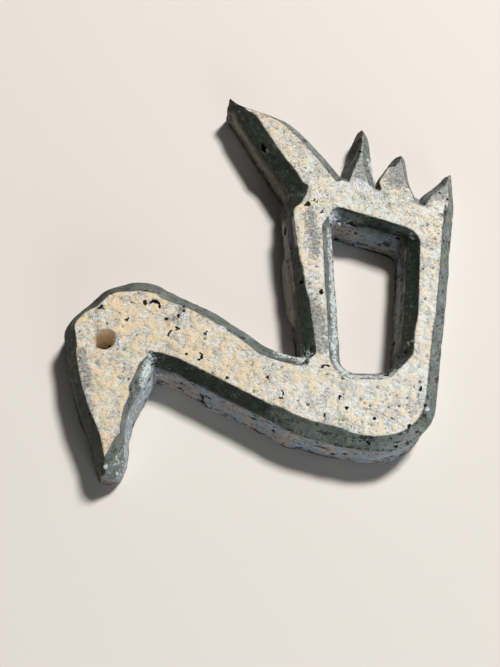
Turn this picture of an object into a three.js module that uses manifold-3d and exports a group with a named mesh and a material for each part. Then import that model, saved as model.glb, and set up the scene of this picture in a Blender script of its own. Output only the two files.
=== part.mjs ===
// Swan figurine: a flat swan cut from one slab of fired clay, with a wide chamfer round its face.
// It lies on its back. Seen from above, the head is at -X with the bill hanging towards -Y,
// the raised wing points to +Y, the tail is at +X, and +Z comes out of the face.
// Millimetres. The origin is below the centre of the bounding box, on the underside.

import * as THREE from "three";
import { mergeVertices } from "three/addons/utils/BufferGeometryUtils.js";
import Module from "manifold-3d";

// The slab's cross-section, from the underside up: a worn edge, a nearly upright side,
// then a wide chamfer up to the face.
const FACE_HEIGHT = 10.6;
const SHOULDER_HEIGHT = 8.0;
const FOOT_HEIGHT = 0.6;
const CHAMFER_WIDTH = 2.7;
const FOOT_CHAMFER = 0.6;
const DRAFT = 0.2;
// The slab was cut a little askew, so its underside sits this far from under its shoulders.
const SKEW = { x: -0.8, y: 0.3 };

// The main masses are plates with rounded corners, [x, y, corner radius], anticlockwise from above.
const HEAD_CORNERS = [
  [-41.7, -1.6, 6.0],
  [-39.0, -14.2, 10.0],
  [-34.8, -24.4, 3.4],
  [-26.3, -24.4, 3.0],
  [-21.3, -12.4, 3.0],
  [-14.2, 4.6, 8.0],
  [-23.6, 9.4, 9.0],
  [-32.8, 8.3, 7.0],
];
const BODY_CORNERS = [
  [8.0, 33.6, 3.4],
  [13.0, -28.9, 6.0],
  [25.2, -31.8, 14.0],
  [37.5, -30.6, 12.5],
  [48.8, 27.4, 3.4],
  [22.4, 39.2, 3.4],
];

// The limbs are lofted along stations, [x, y, half-width of the limb at its shoulders].
const NECK = [
  [-24.5, -1.2, 9.6],
  [-13.3, -5.8, 8.5],
  [-6.2, -10.0, 8.0],
  [-0.5, -13.7, 7.5],
  [5.6, -16.6, 7.9],
  [11.7, -19.0, 9.0],
  [18.8, -21.7, 8.6],
  [27.0, -23.6, 8.0],
];
const BILL = [
  [-30.6, -9.0, 9.4],
  [-30.7, -13.5, 8.4],
  [-30.8, -18.0, 6.9],
  [-30.7, -22.0, 5.4],
  [-30.1, -26.0, 4.1],
  [-29.3, -30.0, 3.3],
  [-29.1, -34.0, 2.6],
  [-29.2, -36.2, 1.6],
];
const WING = [
  [17.6, 33.0, 6.9],
  [14.3, 39.3, 6.5],
  [10.1, 46.4, 6.1],
  [6.3, 52.1, 5.4],
  [2.0, 57.0, 3.8],
  [-1.5, 60.1, 2.2],
  [-5.3, 64.3, 0.5],
];

// The chamfers on the right-hand and on the left-hand side of a limb, looking along its stations.
const NECK_CHAMFERS = [2.4, 3.2];
const BILL_CHAMFERS = [2.3, 1.7];
const WING_CHAMFERS = [2.8, 3.4];
// The part of a limb's width that its face keeps where the chamfers would meet.
const NARROWEST_FACE = 0.15;
// The heights of face and shoulders at the limbs' tips. A limb starts to fall to them after
// levelPart of its length.
const NECK_TIP = { face: FACE_HEIGHT, shoulder: SHOULDER_HEIGHT, levelPart: 0.5 };
const BILL_TIP = { face: 8.0, shoulder: 5.4, levelPart: 0.8 };
const WING_TIP = { face: 8.6, shoulder: 7.4, levelPart: 0.7 };

// The tail ends in three feathers that slope down from the face to their tips.
const FEATHERS = [
  {
    chamfers: [2.6, 2.6],
    stations: [
      [26.0, 34.5, 5.2],
      [26.8, 41.0, 3.8],
      [27.6, 45.5, 2.9],
      [28.3, 50.0, 2.1],
      [28.7, 54.0, 1.4],
      [28.7, 55.5, 0.8],
    ],
  },
  {
    chamfers: [1.5, 1.9],
    stations: [
      [34.7, 30.5, 6.0],
      [35.0, 35.5, 4.7],
      [35.8, 39.5, 3.5],
      [37.0, 43.5, 2.3],
      [37.8, 46.3, 1.4],
      [38.0, 47.3, 0.8],
    ],
  },
  {
    chamfers: [1.8, 2.2],
    stations: [
      [42.6, 25.0, 5.0],
      [44.8, 30.5, 4.5],
      [46.6, 34.2, 3.4],
      [48.1, 37.2, 2.1],
      [49.6, 40.3, 0.7],
    ],
  },
];
const FEATHER_TIP = { face: 6.4, shoulder: 4.8, levelPart: 0 };

// The window between wing and tail goes right through, and so does the drilled eye.
const WINDOW_CORNERS = [
  [19.2, 26.4, 1.6],
  [19.4, -13.8, 3.5],
  [32.2, -13.8, 6.0],
  [36.3, 20.0, 2.5],
];
const WINDOW_CHAMFER = 2.4;
const EYE = { x: -31.5, y: -6.8, radius: 2.4 };

// The bill is pared down from its left edge to the tip, on a plane through these three points.
const BILL_PARING = [
  [-26.6, -26.0, FACE_HEIGHT],
  [-30.6, -33.6, FACE_HEIGHT],
  [-26.6, -34.0, 5.0],
];

// Points closer together than this are one point.
const WELD = 1e-4;
// How finely curves are cut into facets.
const ARC_STEPS = 8;
const LOFT_STEPS_PER_STATION = 4;
const EYE_SIDES = 32;
// Cutting tools run past the faces that they cut.
const CUT_MARGIN = 2;
const PARING_BLOCK = 20;

const CLAY = new THREE.MeshStandardMaterial({
  name: "clay",
  color: new THREE.Color(0.62, 0.57, 0.47),
  roughness: 0.7,
  metalness: 0.0,
});

const wasm = await Module();
wasm.setup();

// A closed mesh as a manifold-3d solid.
function toSolid(geometry) {
  const bare = new THREE.BufferGeometry();
  bare.setAttribute("position", geometry.getAttribute("position"));
  bare.setIndex(geometry.getIndex());
  const merged = mergeVertices(bare, WELD);
  return new wasm.Manifold(
    new wasm.Mesh({
      numProp: 3,
      vertProperties: new Float32Array(merged.attributes.position.array),
      triVerts: new Uint32Array(merged.index.array),
    }),
  );
}

function toGeometry(solid) {
  const mesh = solid.getMesh();
  const geometry = new THREE.BufferGeometry();
  geometry.setAttribute("position", new THREE.BufferAttribute(new Float32Array(mesh.vertProperties), 3));
  geometry.setIndex(new THREE.BufferAttribute(new Uint32Array(mesh.triVerts), 1));
  return geometry;
}

// A solid skinned over rings of points. Every ring is convex, has as many points as the first,
// and runs anticlockwise seen from the side of the last ring.
function skin(rings) {
  const sides = rings[0].length;
  const last = (rings.length - 1) * sides;
  const index = [];
  for (let start = 0; start < last; start += sides) {
    for (let i = 0; i < sides; i++) {
      const a = start + i;
      const b = start + ((i + 1) % sides);
      index.push(a, b, b + sides);
      index.push(a, b + sides, a + sides);
    }
  }
  for (let i = 1; i + 1 < sides; i++) {
    index.push(0, i + 1, i);
    index.push(last, last + i, last + i + 1);
  }
  const geometry = new THREE.BufferGeometry();
  geometry.setAttribute("position", new THREE.Float32BufferAttribute(rings.flat(2), 3));
  geometry.setIndex(index);
  return toSolid(geometry);
}

// A convex outline with rounded corners, drawn in by inset, or out where inset is below zero.
// The arcs keep their centres, so outlines with different insets run parallel.
function roundedOutline(corners, inset) {
  return corners.flatMap(([x, y, radius], i) => {
    const [beforeX, beforeY] = corners.at(i - 1);
    const [afterX, afterY] = corners[(i + 1) % corners.length];
    const arriving = new THREE.Vector2(x - beforeX, y - beforeY).normalize();
    const leaving = new THREE.Vector2(afterX - x, afterY - y).normalize();
    const inwards = [arriving, leaving].map((way) => new THREE.Vector2(-way.y, way.x));
    const cosine = inwards[0].dot(inwards[1]);
    const reach = radius / (1 + cosine);
    const centre = new THREE.Vector2(x, y);
    inwards.forEach((inward) => centre.addScaledVector(inward, reach));
    const from = Math.atan2(-inwards[0].y, -inwards[0].x);
    const turn = Math.acos(THREE.MathUtils.clamp(cosine, -1, 1));
    return Array.from({ length: ARC_STEPS + 1 }, (_, step) => {
      const angle = from + (turn * step) / ARC_STEPS;
      return [
        centre.x + (radius - inset) * Math.cos(angle),
        centre.y + (radius - inset) * Math.sin(angle),
      ];
    });
  });
}

// A convex prism whose outline changes with height, from [height, inset] levels.
function prism(corners, levels) {
  return skin(levels.map(([z, inset]) => roundedOutline(corners, inset).map(([x, y]) => [x, y, z])));
}

// A plate with the slab's cross-section all round.
function plate(corners) {
  return prism(corners, [
    [0, FOOT_CHAMFER - DRAFT],
    [FOOT_HEIGHT, -DRAFT],
    [SHOULDER_HEIGHT, 0],
    [FACE_HEIGHT, CHAMFER_WIDTH],
  ]);
}

// The tool that cuts the window: nearly upright below, widening up to the face.
function windowTool() {
  const lean = DRAFT / SHOULDER_HEIGHT;
  const slope = WINDOW_CHAMFER / (FACE_HEIGHT - SHOULDER_HEIGHT);
  return prism(WINDOW_CORNERS, [
    [-CUT_MARGIN, lean * (SHOULDER_HEIGHT + CUT_MARGIN)],
    [SHOULDER_HEIGHT, 0],
    [FACE_HEIGHT + CUT_MARGIN, -WINDOW_CHAMFER - slope * CUT_MARGIN],
  ]);
}

// A limb with the slab's cross-section, lofted along a smooth line through its stations.
// Its face and shoulders run level at first, then slope down to the tip's heights.
function limb(stations, chamfers, tip) {
  const curve = new THREE.CatmullRomCurve3(stations.map((station) => new THREE.Vector3(...station)));
  const steps = LOFT_STEPS_PER_STATION * (stations.length - 1);
  const rings = [];
  for (let step = 0; step <= steps; step++) {
    const t = step / steps;
    const { x, y, z: half } = curve.getPoint(t);
    const tangent = curve.getTangent(t);
    const right = new THREE.Vector2(tangent.y, -tangent.x).normalize();
    const fall = THREE.MathUtils.clamp((t - tip.levelPart) / (1 - tip.levelPart), 0, 1);
    const face = THREE.MathUtils.lerp(FACE_HEIGHT, tip.face, fall);
    const shoulder = THREE.MathUtils.lerp(SHOULDER_HEIGHT, tip.shoulder, fall);
    const room = 2 * half * (1 - NARROWEST_FACE);
    const squeeze = Math.min(1, room / (chamfers[0] + chamfers[1]));
    const [chamferRight, chamferLeft] = chamfers.map((width) => width * squeeze);
    const foot = half + DRAFT;
    const underside = foot - Math.min(FOOT_CHAMFER, half / 2);
    const section = [
      [-underside, 0],
      [-foot, FOOT_HEIGHT],
      [-half, shoulder],
      [chamferLeft - half, face],
      [half - chamferRight, face],
      [half, shoulder],
      [foot, FOOT_HEIGHT],
      [underside, 0],
    ];
    rings.push(section.map(([side, height]) => [x + side * right.x, y + side * right.y, height]));
  }
  return skin(rings);
}

// The drill that makes the eye.
function eyeDrill() {
  const drill = new THREE.CylinderGeometry(EYE.radius, EYE.radius, FACE_HEIGHT + 2 * CUT_MARGIN, EYE_SIDES);
  drill.rotateX(Math.PI / 2);
  drill.translate(EYE.x, EYE.y, FACE_HEIGHT / 2);
  return toSolid(drill);
}

// A block that stands on the plane through three points and takes off what is above it.
function paringBlock(points) {
  const [a, b, c] = points.map((point) => new THREE.Vector3(...point));
  const up = b.clone().sub(a).cross(c.clone().sub(a)).normalize();
  up.multiplyScalar(Math.sign(up.z));
  const block = new THREE.BoxGeometry(PARING_BLOCK, PARING_BLOCK, PARING_BLOCK);
  block.translate(0, 0, PARING_BLOCK / 2);
  block.applyQuaternion(new THREE.Quaternion().setFromUnitVectors(new THREE.Vector3(0, 0, 1), up));
  block.translate((a.x + b.x + c.x) / 3, (a.y + b.y + c.y) / 3, (a.z + b.z + c.z) / 3);
  return toSolid(block);
}

function makeSwan() {
  const headWithBill = plate(HEAD_CORNERS).add(limb(BILL, BILL_CHAMFERS, BILL_TIP));
  const masses = [
    headWithBill.subtract(paringBlock(BILL_PARING)),
    limb(NECK, NECK_CHAMFERS, NECK_TIP),
    plate(BODY_CORNERS),
    limb(WING, WING_CHAMFERS, WING_TIP),
    ...FEATHERS.map(({ stations, chamfers }) => limb(stations, chamfers, FEATHER_TIP)),
  ];
  const whole = masses.reduce((joined, mass) => joined.add(mass));
  const cut = whole.subtract(windowTool()).subtract(eyeDrill());
  const skewed = cut.warp((vertex) => {
    const below = Math.max(0, 1 - vertex[2] / SHOULDER_HEIGHT);
    vertex[0] += SKEW.x * below;
    vertex[1] += SKEW.y * below;
  });
  const geometry = toGeometry(skewed);
  geometry.computeBoundingBox();
  const centre = geometry.boundingBox.getCenter(new THREE.Vector3());
  geometry.translate(-centre.x, -centre.y, -geometry.boundingBox.min.z);
  return geometry;
}

const swan = new THREE.Mesh(makeSwan(), CLAY);
swan.name = "swan";

const figurine = new THREE.Group();
figurine.add(swan);

export default figurine;
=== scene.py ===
# %% [markdown]
# # A carved clay swan
# The real object is a flat swan, about 9 by 10 cm, cut with a knife from one slab of clay. Its face
# was left bare, its edges were cut to a wide chamfer and painted with a dark slip, and it was fired
# once. A CAD model holds its exact outline, thickness and openings. This lesson gives it the skin of
# the real clay: pores and chips in the face, knife facets on the chamfers, drag marks on the walls.

# %% The CAD model, which stays where it is
import math
import random

import bpy
import numpy as np
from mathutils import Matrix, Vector


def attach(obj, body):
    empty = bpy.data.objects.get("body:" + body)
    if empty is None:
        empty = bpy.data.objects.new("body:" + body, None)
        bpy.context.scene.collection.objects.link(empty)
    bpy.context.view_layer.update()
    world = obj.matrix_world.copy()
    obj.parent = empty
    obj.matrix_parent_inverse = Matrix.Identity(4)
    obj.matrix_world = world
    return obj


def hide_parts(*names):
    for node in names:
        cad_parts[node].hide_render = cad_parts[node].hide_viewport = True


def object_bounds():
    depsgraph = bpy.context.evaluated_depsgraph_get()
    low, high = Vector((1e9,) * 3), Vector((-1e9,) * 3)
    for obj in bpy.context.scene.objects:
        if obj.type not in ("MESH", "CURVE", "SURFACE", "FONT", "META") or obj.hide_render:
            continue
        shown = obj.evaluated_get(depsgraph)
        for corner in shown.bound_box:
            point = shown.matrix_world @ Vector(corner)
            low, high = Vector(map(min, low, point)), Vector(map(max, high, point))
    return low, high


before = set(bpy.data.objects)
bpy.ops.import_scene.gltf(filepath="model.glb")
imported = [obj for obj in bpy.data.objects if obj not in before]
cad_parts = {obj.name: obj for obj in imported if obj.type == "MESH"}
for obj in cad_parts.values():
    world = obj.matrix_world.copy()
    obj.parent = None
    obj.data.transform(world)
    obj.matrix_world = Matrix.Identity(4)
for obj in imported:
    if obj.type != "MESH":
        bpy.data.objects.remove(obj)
cad_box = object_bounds()
MM = 0.001
print("CAD box, mm:", [[round(value / MM, 2) for value in corner] for corner in cad_box])

# %% [markdown]
# ## The studio
# The camera comes first, because every detail is judged through it. It looks down at the swan from
# the front at about 63 degrees. Its place is in metres and its lens in millimetres, which are the
# units that Blender gives them.

# %% The camera
CAMERA_AT = Vector((-0.003988, -0.09981, 0.16635))
CAMERA_LOOKS_AT = Vector((-0.003988, -0.014406, 0.0))
CAMERA_LENS = 43.456
CAMERA_NEAR = 0.01

bpy.ops.object.camera_add(location=CAMERA_AT)
camera = bpy.context.object
camera.rotation_euler = (CAMERA_LOOKS_AT - CAMERA_AT).to_track_quat("-Z", "Y").to_euler()
camera.data.lens = CAMERA_LENS
camera.data.clip_start = CAMERA_NEAR
bpy.context.scene.camera = camera
print("camera height, mm:", round(CAMERA_AT.z / MM))

# %% [markdown]
# The key light stands at the upper right, high enough that a slab ten millimetres thick throws a
# shadow of its own height. A weak cool light low in front fills the walls that face the viewer, and
# a dim room does the rest. Area lights are used because their width sets how soft a shadow gets.

# %% The lights and the dim room
SWAN_MIDDLE = Vector((0, 0, 5 * MM))
ROOM_COLOUR = (1.0, 0.96, 0.92, 1)
ROOM_STRENGTH = 0.038
# Name, the direction towards the light, its distance and width in metres, watts and colour.
LIGHTS = [
    ("key", (0.44, 0.45, 0.86), 1.60, 0.28, 29.5, (1.0, 0.97, 0.94)),
    ("cool_fill", (0.38, -0.88, 0.26), 0.80, 0.36, 1.9, (0.84, 0.92, 1.0)),
]


def add_light(name, direction, distance, width, power, colour):
    """Adds a square area light that faces the swan."""
    away = Vector(direction).normalized()
    turn = away.to_track_quat("Z", "Y").to_euler()
    bpy.ops.object.light_add(type="AREA", location=SWAN_MIDDLE + away * distance, rotation=turn)
    light = bpy.context.object
    light.name = name
    light.data.size = width
    light.data.energy = power
    light.data.color = colour


for light in LIGHTS:
    add_light(*light)

world = bpy.data.worlds.new("dim_room")
world.use_nodes = True
background = world.node_tree.nodes["Background"]
background.inputs["Color"].default_value = ROOM_COLOUR
background.inputs["Strength"].default_value = ROOM_STRENGTH
bpy.context.scene.world = world
bpy.context.scene.view_settings.view_transform = "Standard"
print("lights:", [light[0] for light in LIGHTS])

# %% [markdown]
# The floor is a plain pale plane at height 0, where the CAD model rests. It is matt and far larger
# than the swan, so that nothing shows on it but the shadow.

# %% The floor
FLOOR_SIZE = 3.0
FLOOR_COLOUR = (0.80, 0.76, 0.71, 1)
FLOOR_ROUGHNESS = 0.9

bpy.ops.mesh.primitive_plane_add(size=FLOOR_SIZE, location=(0, 0, 0))
floor = bpy.context.object
floor.name = "floor"
floor_paint = bpy.data.materials.new("pale_floor")
floor_paint.use_nodes = True
floor_shader = floor_paint.node_tree.nodes["Principled BSDF"]
floor_shader.inputs["Base Color"].default_value = FLOOR_COLOUR
floor_shader.inputs["Roughness"].default_value = FLOOR_ROUGHNESS
floor.data.materials.append(floor_paint)
print("floor, m:", FLOOR_SIZE)

# %% [markdown]
# ## The blank
# A copy of the CAD solid is the blank that gets carved. Its triangles are loose, so they are merged
# first. A second copy is kept whole as a guide: it still knows which of its facets are face,
# chamfer or wall after the carving has blurred them.

# %% Copying the slab
MERGE_DISTANCE = 0.002 * MM


def pick(piece):
    """Selects only this piece and makes it the active one."""
    bpy.ops.object.select_all(action="DESELECT")
    piece.select_set(True)
    bpy.context.view_layer.objects.active = piece


def use_modifier(piece, kind, **settings):
    """Adds a modifier to the piece and applies it."""
    pick(piece)
    bpy.ops.object.modifier_add(type=kind)
    modifier = piece.modifiers[-1]
    for name, value in settings.items():
        setattr(modifier, name, value)
    bpy.ops.object.modifier_apply(modifier=modifier.name)


def edit_all(piece):
    """Opens the piece for editing with its whole mesh selected."""
    pick(piece)
    bpy.ops.object.mode_set(mode="EDIT")
    bpy.ops.mesh.select_all(action="SELECT")


def copy_slab(name):
    """A copy of the CAD slab with its triangles joined up."""
    copy = bpy.data.objects.new(name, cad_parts["swan"].data.copy())
    bpy.context.scene.collection.objects.link(copy)
    edit_all(copy)
    bpy.ops.mesh.remove_doubles(threshold=MERGE_DISTANCE)
    bpy.ops.object.mode_set(mode="OBJECT")
    return copy


swan = copy_slab("swan_figurine")
guide = copy_slab("guide")
print("blank:", len(swan.data.vertices), "vertices,", len(swan.data.polygons), "faces")

# %% [markdown]
# ## Clay pressed on
# The maker pressed clay into the roots of the feathers and left the tips blunt, and torn grit still
# sits on the face here and there. Each of these is a pebble: an ico sphere, stretched and turned,
# that overlaps the slab. The remesh of the next step fuses them all into one skin.

# %% Lumps on the blank
# Place, length, width and depth in mm, and the turn in degrees.
LUMPS = [
    (24.3, 20.4, 9.5, 4.6, 2.4, 1.8, -18),  # root between the wing and the first feather
    (34.2, 16.6, 9.3, 6.0, 2.8, 2.0, -18),  # root between the second and the third feather
    (19.8, 22.6, 8.4, 2.6, 2.4, 2.4, 0),
    (24.0, 37.9, 4.2, 3.2, 3.0, 7.6, 0),  # blunt tip of the first feather
    (33.0, 29.2, 4.4, 3.8, 3.0, 7.4, 0),  # blunt tip of the second feather
    (44.4, 24.1, 4.2, 2.9, 3.0, 7.4, 0),  # blunt tip of the third feather
    (-8.7, 48.3, 4.6, 3.0, 2.6, 7.6, -30),  # blunt tip of the wing
    (-9.3, 47.4, 3.4, 2.0, 1.8, 3.4, 0),
    (-6.4, 47.5, 5.2, 5.0, 2.6, 5.8, -32),
    (-24.9, -12.9, 10.4, 1.5, 1.3, 0.8, 30),  # torn grit beside the large crescent
    (-18.1, -14.8, 10.5, 0.9, 0.7, 0.7, 70),  # a cluster of grit on the neck
    (-18.7, -16.0, 10.5, 0.8, 0.7, 0.8, 10),
    (-20.0, -20.6, 10.5, 1.5, 2.0, 0.7, -10),
    (-32.7, -21.7, 10.5, 1.0, 0.9, 0.8, 40),  # grit at the right of the eye
    (-32.1, -22.5, 10.5, 1.1, 0.8, 0.9, -20),
    (22.2, 20.9, 9.8, 1.1, 0.9, 1.6, 30),  # grit at the roots of the feathers
    (23.3, 20.2, 10.0, 0.9, 0.8, 1.2, 0),
    (26.3, 17.4, 10.3, 1.1, 0.8, 0.9, 20),
    (15.6, 10.8, 9.6, 1.4, 0.9, 1.4, 20),  # grit in the corner of the window
    (17.0, 9.8, 9.2, 1.2, 0.8, 1.3, -30),
    (33.1, -37.3, 9.9, 0.8, 0.7, 0.9, 0),
]


def pebble(x, y, z, length, width, depth, turn, detail=2):
    """Adds one rough pebble, sized and placed in mm, to the mesh that is being edited."""
    bpy.ops.mesh.primitive_ico_sphere_add(
        subdivisions=detail,
        radius=0.5 * MM,
        location=Vector((x, y, z)) * MM,
        rotation=(0, 0, math.radians(turn)),
        scale=(length, width, depth),
    )


edit_all(swan)
for lump in LUMPS:
    pebble(*lump)
bpy.ops.object.mode_set(mode="OBJECT")
print("lumps:", len(LUMPS))

# %% [markdown]
# ## Fine clay
# A voxel remesh turns the blank into an even skin of tiny squares and fuses the added lumps with
# it. A little smoothing wears its edges.

# %% Remeshing
VOXEL = 0.22 * MM
use_modifier(swan, "REMESH", mode="VOXEL", voxel_size=VOXEL)
use_modifier(swan, "SMOOTH", factor=0.5, iterations=4)
print("skin:", len(swan.data.vertices), "vertices")

# %% [markdown]
# The regions of the guide are copied over by a data transfer, so that face, chamfer, wall and
# underside can be carved and coloured one by one. Each facet of the guide gets its region from the
# way it faces. A fifth weight says how far a side turns towards the right, where the lights stand:
# it paints those sides paler, as a painted reflection, and the sides turned away darker, as painted
# shade.

# %% Which part of the skin is face, chamfer, wall or underside
FACE_SLOPE = 0.93  # a facet is face if its normal's z is above this
WALL_SLOPE = 0.25  # and wall if its normal's z is within this of level
LEAST_SLOPE = 0.3  # keeps the lit-side weight steady on facets that lie nearly flat
# Sides turned this way, towards the lights, are painted paler as a reflection; sides turned away are
# painted darker as shade.
LIT_DIRECTION = Vector((0.95, 0.30, 0.0))
REGIONS = {
    "face": lambda normal: normal.z > FACE_SLOPE,
    "chamfer": lambda normal: WALL_SLOPE < normal.z <= FACE_SLOPE,
    "wall": lambda normal: abs(normal.z) <= WALL_SLOPE,
    "underside": lambda normal: normal.z < -WALL_SLOPE,
    "lit_side": lambda normal: 0.5 + 0.5 * normal.dot(LIT_DIRECTION) / max(normal.xy.length, LEAST_SLOPE),
}

edit_all(guide)
bpy.ops.mesh.edge_split(type="EDGE")
bpy.ops.object.mode_set(mode="OBJECT")
for name, weigh in REGIONS.items():
    group = guide.vertex_groups.new(name=name)
    for polygon in guide.data.polygons:
        weight = min(max(float(weigh(polygon.normal)), 0.0), 1.0)
        group.add(list(polygon.vertices), weight, "REPLACE")
    swan.vertex_groups.new(name=name)
use_modifier(
    swan,
    "DATA_TRANSFER",
    object=guide,
    use_vert_data=True,
    data_types_verts={"VGROUP_WEIGHTS"},
    vert_mapping="POLYINTERP_NEAREST",
)
bpy.data.objects.remove(guide)
edit_all(swan)
bpy.ops.object.vertex_group_smooth(group_select_mode="ALL", factor=0.5, repeat=4)
bpy.ops.object.mode_set(mode="OBJECT")
print("regions:", list(REGIONS))

# %% [markdown]
# ## Nudging the creases
# The CAD outline is true to about half a millimetre, but its chamfers are even, and a hand-cut
# chamfer never is. Each nudge takes the vertices beside a short stretch of a crease and moves them
# with soft selection, so that the clay around them follows.

# %% Soft nudges along the creases
# Start and end of the stretch, how far it moves, and how far the clay around it follows, in mm.
NUDGES = [
    ((-37.3, -11.5, 10.6), (-27.7, -8.1, 10.6), (0.2, -1.0, 0.0), 4.0),  # head, top of the face
    ((-43.8, -14.1, 8), (-35.5, -6.1, 8), (0.5, -0.6, 0.0), 5.0),  # head, upper left
    ((-25.4, -6.6, 8), (-11.8, -13.6, 8), (0.1, 0.1, 0.0), 5.0),  # neck, upper outline
    ((-26.8, -23.6, 10.6), (-26.6, -23.6, 10.6), (1.2, -0.6, 0.0), 3.5),  # throat
    ((-24.4, -24.3, 10.6), (-2.9, -34.8, 10.6), (-0.1, 0.1, 0.0), 4.0),  # neck, lower face line
    ((-30.9, -35.0, 10.6), (-31.6, -42.1, 10.6), (1.1, 0.0, 0.0), 3.0),  # bill, right face line
    ((-33.6, -45.9, 10.6), (-33.4, -45.9, 10.6), (0.3, -1.5, 0.0), 3.0),  # bill, end of the face
    ((-25.9, -28.5, 3), (-29.8, -38.1, 3), (0.9, -0.2, 0.0), 5.0),  # throat wall
    ((-30.3, -44.2, 3), (-30.6, -49.0, 3), (0.5, -0.1, 0.0), 3.5),  # bill wall
    ((-24.1, -27.1, 1), (-13.9, -31.7, 1), (-0.1, -0.7, 0.0), 4.0),  # neck, foot
    ((-13.9, -31.7, 1), (3.6, -41.3, 1), (-0.2, -0.8, 0.0), 4.0),  # neck, foot
    ((-18.1, -13.5, 10.6), (-4.6, -21.9, 10.6), (0.1, 0.4, 0.0), 4.0),  # neck, top face line
    ((3.3, -38.3, 10.6), (13.4, -42.1, 10.6), (0.1, 0.8, 0.0), 4.0),  # belly face line
    ((27.9, -46.1, 4), (33.9, -40.5, 4), (-0.3, 0.4, 0.0), 5.0),  # belly corner
    ((4.9, 1.7, 1), (5.4, -8.7, 1), (-1.2, 0.0, 0.0), 5.0),  # post, foot
    ((9.6, 18.5, 10.6), (9.6, 18.5, 10.6), (0.2, 1.2, 0.0), 2.5),  # wing, end of its chamfer
    ((7.2, 18.1, 10.6), (7.1, 16.5, 10.6), (1.7, -0.6, 0.0), 3.0),  # post, shoulder
    ((4.0, 16.5, 7.5), (3.6, 13.0, 7.5), (0.9, -0.3, 0.0), 3.5),  # post, outside of the shoulder
    ((7.5, 12.5, 10.6), (8.1, 1.5, 10.6), (-1.1, 0.0, 0.0), 4.5),  # post, bulge
    ((8.7, -2.5, 10.6), (9.1, -7.0, 10.6), (-0.6, 0.0, 0.0), 4.0),  # post, below it
    ((10.3, -27.6, 10.6), (10.5, -28.1, 10.6), (-2.2, 1.0, 0.0), 3.0),  # foot of the post
    ((13.4, 11.5, 10.6), (13.7, 11.8, 10.6), (0.8, -0.6, 0.0), 3.0),  # window, top left
    ((34.5, 3.6, 10.6), (32.8, -14.0, 10.6), (0.7, 0.0, 0.0), 6.0),  # window, right face line
    ((28.8, -28.0, 10.6), (29.2, -27.6, 10.6), (-0.5, 0.5, 0.0), 3.5),  # window, lower right
    ((24.4, 9.0, 8), (31.3, 5.9, 8), (0.3, 0.9, 0.0), 3.5),  # window, top
    ((43.4, 9.0, 8), (42.5, 1.2, 8), (-0.3, 0.0, 0.0), 5.0),  # body, right
    ((22.1, 36.3, 5), (19.4, 28.6, 5), (1.9, -0.3, 0.0), 3.5),  # first feather, left
    ((27.4, 26.0, 5), (27.9, 22.8, 5), (-0.8, 0.0, 0.0), 3.0),  # first feather, right
    ((24.0, 39.2, 2), (24.0, 39.2, 9), (-0.1, -1.2, 0.0), 1.6),  # first feather, tip
    ((33.2, 31.2, 2), (33.2, 31.2, 9), (-0.2, -1.0, 0.0), 2.0),  # second feather, tip
    ((30.4, 28.4, 9.6), (28.6, 22.6, 10.6), (-1.0, 0.5, 0.0), 2.5),  # second feather, ridge
    ((44.7, 24.6, 3), (44.7, 24.6, 8), (0.3, 0.8, 0.0), 4.0),  # third feather, tip
    ((39.6, 21.7, 6), (42.6, 24.4, 6), (-0.2, -0.3, 0.0), 3.5),  # third feather, left
    ((-6.1, 48.3, 8), (1.7, 44.9, 8), (-0.2, -0.6, 0.0), 4.0),  # wing, upper outline
    ((-3.0, 42.5, 10.6), (4.0, 28.8, 10.6), (-0.3, -0.1, 0.0), 3.5),  # wing, face line
    ((-6.0, 42.3, 8), (-0.5, 31.1, 8), (-0.8, -0.3, 0.0), 3.5),  # wing, lower left
    ((27.5, 25.8, 5), (27.7, 25.5, 5), (-0.4, -1.8, 0.0), 3.5),  # gap of the first two feathers
    ((9.8, -10.0, 10.6), (12.0, -21.0, 10.6), (0.0, 0.0, -0.5), 3.5),  # post, pared lower
]
GRIP_WIDTH = 0.5 * MM  # how much farther off than the nearest vertex a nudge still grips
SHORTEST = 1e-12  # keeps a stretch that is a single place from dividing by zero


def read_vectors(collection, name):
    """One vector per item of a mesh collection, as an array."""
    numbers = np.empty(len(collection) * 3)
    collection.foreach_get(name, numbers)
    return numbers.reshape(-1, 3)


def distances(start, end):
    """How far each vertex of the swan lies from the line between two places given in mm."""
    start = np.array(start) * MM
    way = np.array(end) * MM - start
    offsets = read_vectors(swan.data.vertices, "co") - start
    along = (offsets @ way / max(way @ way, SHORTEST)).clip(0, 1)
    return np.linalg.norm(offsets - along[:, None] * way, axis=1)


def grip(chosen):
    """Opens the swan for editing with the chosen vertices selected."""
    swan.data.vertices.foreach_set("select", chosen)
    bpy.ops.object.mode_set(mode="EDIT")


def let_go():
    """Deselects everything and closes the swan again."""
    bpy.ops.mesh.select_all(action="DESELECT")
    bpy.ops.object.mode_set(mode="OBJECT")


def nudge(start, end, shift, reach):
    """Moves the stretch of skin nearest to a line, and the clay within reach of it by less."""
    gap = distances(start, end)
    grip(gap < gap.min() + GRIP_WIDTH)
    bpy.ops.transform.translate(
        value=Vector(shift) * MM,
        use_proportional_edit=True,
        proportional_edit_falloff="SMOOTH",
        proportional_size=reach * MM,
    )
    let_go()


pick(swan)
bpy.ops.object.mode_set(mode="EDIT")
bpy.ops.mesh.select_mode(type="VERT")
let_go()
for stretch in NUDGES:
    nudge(*stretch)
print("nudges:", len(NUDGES))

# %% [markdown]
# ## Softening
# The roots of the feathers, the shoulder of the post and the end of the bill are rounder than a
# knife leaves them. Smoothing only the vertices near a line rounds them and leaves the rest crisp.

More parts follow.
